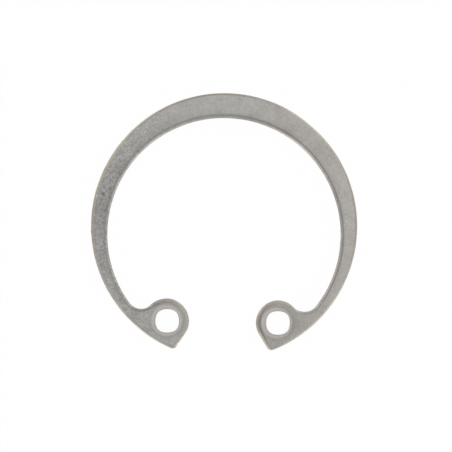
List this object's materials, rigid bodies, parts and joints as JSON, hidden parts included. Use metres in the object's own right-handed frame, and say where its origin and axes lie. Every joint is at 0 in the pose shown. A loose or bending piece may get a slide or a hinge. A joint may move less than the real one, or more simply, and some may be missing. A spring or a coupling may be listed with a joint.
{
  "type": "circlip retaining ring",
  "caption": "Flat open steel ring that springs into a groove inside a bore, tapering from its back towards the gap, with a holed lug at each end for pliers.",
  "frame": {"origin": "centre of the ring's round outer edge, at half its thickness", "axes": "+Z along the ring's axis, square to its flat faces; -Y from the centre to the middle of the gap; +X towards the lug on the right when the ring is seen from +Z with the gap at the bottom"},
  "size_m": [0.0268, 0.0259, 0.0012],
  "materials": {
    "tumbled_steel": "tumbled satin, bare steel with fine pitting and rounded stamped edges"
  },
  "bodies": {
    "root": {"retaining_ring": "tumbled_steel"}
  },
  "joints": []
}
